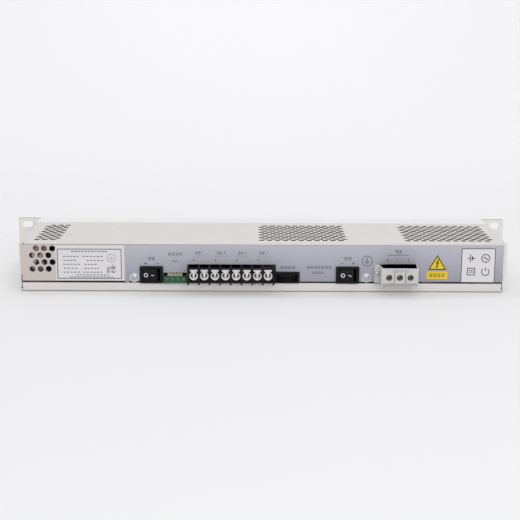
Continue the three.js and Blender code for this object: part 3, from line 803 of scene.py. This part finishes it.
def print_film():
    marks = Print(PRINT_Y)
    # Battery switch: its name, and plus and minus over the rocker's ends.
    battery_x = middle_mm("battery_switch_housing")[0]
    marks.dashes(battery_x, 30.1, 6.7, 2.0, 2, 0.8)
    marks.plus(battery_x - 5.2, 25.3, 2.4, 0.5)
    marks.bar(battery_x + 5.4, 25.3, 2.4, 0.5)
    # Monitor terminal.
    monitor_x = middle_mm("monitor_plug")[0]
    marks.dashes(monitor_x + 0.275, 34.1, 13.6, 1.9, 4, 0.75)
    marks.dashes(monitor_x - 0.025, 27.5, 4.8, 1.3, 3, 0.7)
    # Output terminals: a name over each pair. They are numbered from the right, and the
    # leftmost has no number.
    pairs, pair_pitch = 4, 19.1
    first_x = middle_mm("output_screw_1")[0] + 5
    for group in range(pairs):
        x = first_x + pair_pitch * group
        left, right = x - 4.8, x + 4.8
        marks.dashes(x - 1.2, 35.3, 5.2, 1.9, 2, 0.8)
        if group > 0:
            marks.number(str(pairs - group), x + 3.4, 35.3, 3.4)
        marks.bar(left, 28.6, 0.45, 1.7)
        marks.bar(left, 28.6, 1.5, 0.45)
        marks.stroke([(left, 31.4), (left, 32.4), (right, 32.4), (right, 31.4)], 0.16)
    # Signal header and the spare position beside it.
    signal_x, spare_x = middle_mm("signal_header")[0] + 0.175, 50.8
    marks.dashes(signal_x, 22.0, 14.2, 1.9, 4, 0.75)
    marks.dashes(spare_x, 22.3, 23.0, 1.7, 7, 0.72)
    marks.dashes(spare_x - 1, 17.5, 11.0, 1.5, 6, 0.7)
    # Mains switch: its name, and minus and plus over the rocker's ends.
    mains_x = middle_mm("mains_switch_housing")[0]
    marks.dashes(mains_x + 0.2, 30.4, 7.0, 2.2, 2, 0.82)
    marks.bar(mains_x - 5.1, 26.0, 2.2, 0.5)
    marks.plus(mains_x + 5.1, 26.0, 2.2, 0.5)
    # Protective earth.
    earth_x, earth_z = middle_mm("ground_screw_2")[0] + 0.4, 28.3
    marks.circle(earth_x, earth_z, 4.6, 0.55, 36)
    marks.bar(earth_x, earth_z + 1.6, 0.55, 3.2)
    for drop, width in ((0.1, 5.2), (1.3, 3.4), (2.5, 1.6)):
        marks.bar(earth_x, earth_z - drop, width, 0.5)
    # Mains terminal: a line over three marks.
    block_x = middle_mm("mains_screw_2")[0]
    marks.dashes(block_x + 0.15, 36.9, 6.6, 2.2, 2, 0.8)
    marks.bar(block_x - 0.45, 33.7, 19.0, 0.4)
    marks.circle(block_x - 9.55, 29.2, 1.1, 0.35, 16)
    marks.number("1", block_x - 0.55, 29.3, 3.2)
    marks.number("2", block_x + 9.05, 29.3, 3.2)
    marks.finish("film_print", ink)


def print_rating_label():
    """A frame, rows of plain dashes, a ring with bars, and cells that encode nothing."""
    low, high = box_mm("rating_label")
    edge = low.x
    marks = Print(PRINT_Y)
    marks.frame(edge + 1.6, 11.5, high.x - 2.5, 38.3, 0.75)
    marks.dashes(edge + 30, 36.2, 33, 0.9, 11, 0.7)
    # Each row has a left and a right run of dashes: middle from the edge, width, count.
    rows = [
        ((13.5, 15, 5), (33, 19, 6)), ((12.5, 12, 4), (35, 16, 5)), ((14, 16, 5), (31, 12, 4)),
        ((13, 13, 4), (32, 14, 5)), ((14, 16, 5), (33, 18, 6)),
    ]
    row_top, row_pitch = 31.6, 3.6
    for line, runs in enumerate(rows):
        for middle, width, count in runs:
            marks.dashes(edge + middle, row_top - row_pitch * line, width, 0.75, count, 0.66)
    marks.dashes(edge + 33, 14.7, 30, 0.7, 10, 0.7)
    marks.dashes(edge + 32, 12.8, 40, 0.7, 12, 0.75)
    ring_x = edge + 49.6
    marks.circle(ring_x, 30.2, 3.7, 0.35, 28)
    marks.bar(ring_x, 30.2, 4.0, 0.5)
    marks.bar(ring_x, 28.6, 2.6, 0.4)
    pattern = random.Random(3)
    cells, cell, filled = 8, 0.95, 0.52
    for row in range(cells):
        for column in range(cells):
            if pattern.random() < filled:
                x = edge + 45.7 + cell * (column + 0.5)
                marks.bar(x, 16.6 + cell * (row + 0.5), cell * 0.96, cell * 0.96)
    marks.finish("rating_print", label_ink)


def print_warnings():
    low, high = box_mm("hazard_triangle")
    marks = Print(low.y - 0.01)
    middle = (low.x + high.x) / 2
    inset = 0.75
    marks.stroke([
        (low.x + inset * 1.75, low.z + inset * 0.6), (high.x - inset * 1.75, low.z + inset * 0.6),
        (middle, high.z - inset * 1.35),
    ], 0.9, closed=True)
    bolt = [(0.9, 4.4), (-1.5, 0.4), (-0.2, 0.4), (-0.9, -2.4), (-1.7, -2.2), (-0.6, -4.0),
            (0.5, -2.6), (-0.2, -2.5), (1.6, 1.2), (0.3, 1.2), (1.7, 4.4)]
    marks.area([(middle + x, low.z + 5.6 + z) for x, z in reversed(bolt)])
    low, high = box_mm("hazard_plate")
    marks.dashes((low.x + high.x) / 2, (low.z + high.z) / 2, 14.5, 2.4, 4, 0.7)
    marks.finish("warning_print", warning_ink)


def print_pictograms():
    """Four plain electrical symbols in the places of the label's four large marks."""
    low, high = box_mm("pictogram_label")
    marks = Print(low.y - 0.01)
    line = 0.75
    marks.stroke([
        (low.x + 0.3, low.z + 0.2), (low.x + 0.3, high.z - 0.3),
        (high.x - 0.3, high.z - 0.3), (high.x - 0.3, low.z + 0.2),
    ], 0.6)
    # A cell: long and short plates with leads.
    x, z = 187.4, 31.2
    marks.bar(x - 0.9, z, line, 7.2)
    marks.bar(x + 0.9, z, 1.1, 3.8)
    marks.bar(x - 2.4, z, 2.4, line)
    marks.bar(x + 2.5, z, 2.2, line)
    # Alternating current: a wave in a ring.
    x, z = 200.3, 31.2
    marks.circle(x, z, 3.6, line, 32)
    wave = [(x - 2 + 4 * i / 14, z + 1.1 * math.sin(2 * math.pi * i / 14)) for i in range(15)]
    marks.stroke(wave, line)
    # Direct current: a full line over a broken one.
    x, z = 187.5, 19.0
    marks.frame(x - 3.3, z - 3.1, x + 3.3, z + 3.1, line)
    marks.bar(x, z + 0.8, 4.2, line)
    for step in (-1.6, 0, 1.6):
        marks.bar(x + step, z - 0.8, 1.0, line)
    # Standby: a broken ring and a line.
    x, z = 200.4, 19.0
    marks.circle(x, z - 0.2, 3.4, line, 28, 125, 290)
    marks.bar(x, z + 2.0, line, 3.4)
    marks.finish("pictogram_print", ink)


# The rocker about its own pivot, as in the CAD at rest: half its face's width, how far the
# face's ends stand out, and four times the depth of its dish.
ROCKER_TILT = -10
ROCKER_PIVOT = 4.5
ROCKER_HALF = 6.3
ROCKER_FACE = 7
ROCKER_DISH = 1.4


def print_rockers():
    """A ring and a dash (or a wave) on each rocker, which turn with it."""
    for switch, ring_x, dash_x in (("battery", -3.8, 2.4), ("mains", -3.1, 3.3)):
        x, z = middle_mm(f"{switch}_switch_housing")
        marks = Print(-ROCKER_FACE - 0.03, 0.08)
        marks.circle(ring_x, -0.3, 1.55, 0.62, 28)
        if switch == "battery":
            marks.bar(dash_x, -0.3, 2.6, 0.55)
        else:
            wave = [(dash_x - 1.4 + 2.8 * i / 12, -0.3 + 0.45 * math.sin(2 * math.pi * i / 12))
                    for i in range(13)]
            marks.stroke(wave, 0.5)
        for vert in marks.bm.verts:
            along = (vert.co.x / MM + ROCKER_HALF) / (2 * ROCKER_HALF)
            dished = ROCKER_DISH * along * (1 - along)
            vert.co.y += dished * MM
        pivot = Vector((x, film_low.y + ROCKER_PIVOT, z)) * MM
        turn = Matrix.Rotation(math.radians(ROCKER_TILT), 4, "Z")
        marks.finish(f"{switch}_rocker_marks", white_mark,
                     f"{switch}_rocker", Matrix.Translation(pivot) @ turn)


print_film()
print_rating_label()
print_warnings()
print_pictograms()
print_rockers()


# ---- Small metal inside the connectors ------------------------------------------------
def rounded_box(low, high, radius=0.12):
    """A box between two corners in millimetres with rounded edges."""
    bm = bmesh.new()
    (x0, y0, z0), (x1, y1, z1) = low, high
    prism(bm, [(x0, y0), (x1, y0), (x1, y1), (x0, y1)], z0, z1)
    round_edges(bm, radius, anywhere, 2)
    return bm


def gather(solids):
    """Several bmeshes as one, in the same order."""
    whole = bmesh.new()
    for bm in solids:
        mesh = bpy.data.meshes.new("part")
        bm.to_mesh(mesh)
        bm.free()
        whole.from_mesh(mesh)
        bpy.data.meshes.remove(mesh)
    return whole


def make_contacts():
    """Pins of the signal header, clamps of the green plug, stripes of the marker strip."""
    low = box_mm("signal_header")[0]
    pin_count, pin_pitch, pin_half = 8, 1.9, 0.3
    pins = []
    for i in range(pin_count):
        x = low.x + 3.6 + i * pin_pitch
        pins.append(rounded_box((x - pin_half, low.y + 3.2, 14), (x + pin_half, low.y + 9, 14.5)))
    piece("signal_contacts", gather(pins), brass)

    ways, way_pitch, clamp_half = 4, 5.08, 1.3
    middle = middle_mm("monitor_plug")[0]
    near, far = (box_mm("monitor_plug")[0].y + depth for depth in (0.9, 1.9))
    clamps = []
    for way in range(ways):
        x = middle + (way - (ways - 1) / 2) * way_pitch
        for bottom, top in ((9.5, 10.1), (11.3, 12.2)):
            clamps.append(rounded_box((x - clamp_half, near, bottom), (x + clamp_half, far, top)))
    piece("monitor_plug_clamps", gather(clamps), dull_nickel, "plug")

    low = box_mm("monitor_marker_strip")[0]
    tooth_pitch, stripe_half = 2.6, 0.35
    stripes = []
    for tooth in range(5):
        x = low.x + 1 + tooth * tooth_pitch
        stripes.append(rounded_box(
            (x - stripe_half, low.y - 0.03, low.z + 0.5),
            (x + stripe_half, low.y + 0.3, low.z + 1.9), 0.02,
        ))
    piece("marker_stripes", gather(stripes), red_mark)


def make_board_parts():
    """Chips and small cans on the main board, seen through the vents."""
    low, high = box_mm("main_board")
    lay = random.Random(11)
    chips = []
    clear_from, clear_to = -75, -15  # the two capacitors stand between these
    for column in range(9):
        x = low.x + 16 + column * 11
        if clear_from < x < clear_to:
            continue
        for row in range(3):
            y = -25 + row * 22
            width, depth = lay.uniform(4, 9), lay.uniform(4, 8)
            tall = lay.uniform(1.2, 3)
            chips.append(rounded_box(
                (x - width / 2, y - depth / 2, high.z), (x + width / 2, y + depth / 2, high.z + tall), 0.2,
            ))
    piece("board_chips", gather(chips), black_plastic)


def tube(points, radius, sides=10):
    """A round solid of even radius along a smooth line through the points (millimetres)."""
    curve = bpy.data.curves.new("line", "CURVE")
    curve.dimensions = "3D"
    curve.bevel_depth = radius * MM
    curve.bevel_resolution = 3
    curve.use_fill_caps = True
    curve.resolution_u = 6
    spline = curve.splines.new("NURBS")
    spline.points.add(len(points) - 1)
    for point, place in zip(spline.points, points):
        point.co = (*(Vector(place) * MM), 1)
    spline.use_endpoint_u = True
    spline.order_u = 4
    holder = bpy.data.objects.new("line", curve)
    bpy.context.scene.collection.objects.link(holder)
    bpy.context.view_layer.update()
    graph = bpy.context.evaluated_depsgraph_get()
    mesh = bpy.data.meshes.new_from_object(holder.evaluated_get(graph))
    bm = bmesh.new()
    bm.from_mesh(mesh)
    bmesh.ops.remove_doubles(bm, verts=bm.verts, dist=1e-6)
    bpy.data.objects.remove(holder)
    bpy.data.meshes.remove(mesh)
    return bm


def make_inner_leads():
    """Insulated leads of the battery pack, which show behind the vents."""
    for name, surface, x, lean, radius in (
        ("battery_lead_grey", lead_grey, -206, 2.0, 2.3),
        ("battery_lead_pink", lead_pink, -199.5, -3.0, 2.0),
        ("battery_lead_dark", black_plastic, -192, 2.5, 2.2),
    ):
        y = tray_low.y + 7
        path = [
            (x + 6, -24, 14), (x + 4, -34, 15), (x + lean, y + 3, 17), (x - lean, y, 22),
            (x + lean, y, 28),
            (x - lean, y + 1, 34), (x + 3, y + 8, 37.5), (x + 8, -32, 36), (x + 10, -23, 33),
        ]
        piece(name, tube(path, radius), surface)


make_contacts()
make_board_parts()
make_inner_leads()


# ---- Status lights ---------------------------------------------------------------------
def make_status_collars():
    """A dark collar round each status light on the front panel."""
    face = box_mm("front_panel")[1].y
    profile = [
        (0, -0.3), (2.6, -0.3), (2.6, 0.3), (2.35, 0.55), (1.8, 0.55), (1.6, -0.2), (0, -0.2),
    ]
    for index in range(1, 4):
        x, z = middle_mm(f"status_led_{index}")
        centre = (x, face, z)
        collar = moved(lathe(profile), stand_out(centre, 0, (0, 1, 0)))
        piece(f"status_collar_{index}", collar, black_plastic)


make_status_collars()


# ---- Floor, light ---------------------------------------------------------------------
# The floor is set a little below the tray (metres), only to give a dark contact line.
FLOOR_GAP = 0.0006


def make_floor():
    """A pale floor that curves up into a backdrop a long way behind the object."""
    front, bend_from, bend, top, half_width = -4.0, 1.6, 1.2, 5.0, 5
    profile = [(front, -FLOOR_GAP), (bend_from, -FLOOR_GAP)]
    steps = 12
    for step in range(1, steps + 1):
        turn = step / steps * math.pi / 2
        profile.append((bend_from + bend * math.sin(turn), bend - bend * math.cos(turn)))
    profile.append((bend_from + bend, top))
    bm = bmesh.new()
    rows = [[bm.verts.new((x, y, z)) for x in (-half_width, half_width)]
            for y, z in profile]
    for near, far in zip(rows, rows[1:]):
        bm.faces.new([near[0], near[1], far[1], far[0]])
    mesh = bpy.data.meshes.new("floor")
    bm.to_mesh(mesh)
    bm.free()
    mesh.polygons.foreach_set("use_smooth", [True] * len(mesh.polygons))
    paper = Surface("floor_paper", (0.9, 0.9, 0.905, 1), 0.75).mottle(0.8, 0.01)
    mesh.materials.append(paper.material)
    floor = bpy.data.objects.new("floor", mesh)
    bpy.context.scene.collection.objects.link(floor)


def softbox(name, at, aim, width, depth, power):
    """A rectangular light: places and sizes in metres, power in watts."""
    data = bpy.data.lights.new(name, "AREA")
    data.shape = "RECTANGLE"
    data.size, data.size_y = width, depth
    data.energy = power
    light = bpy.data.objects.new(name, data)
    light.location = at
    light.rotation_euler = (Vector(aim) - Vector(at)).to_track_quat("-Z", "Y").to_euler()
    bpy.context.scene.collection.objects.link(light)


def make_light():
    world = bpy.data.worlds.new("studio")
    world.use_nodes = True
    background = world.node_tree.nodes["Background"]
    background.inputs["Color"].default_value = (0.985, 0.985, 1.0, 1)
    background.inputs["Strength"].default_value = 0.58
    bpy.context.scene.world = world
    softbox("key", (0.25, -1.75, 1.05), (0, 0, 0), 1.8, 1.0, 16)
    softbox("overhead", (0.0, 0.2, 1.6), (0, 0, 0), 2.4, 1.0, 4)
    softbox("backdrop", (0.0, 1.0, 2.2), (0, 2.6, 1.0), 3.0, 0.8, 24)
    scene = bpy.context.scene
    scene.view_settings.view_transform = "Standard"
    scene.view_settings.look = "None"


make_floor()
make_light()
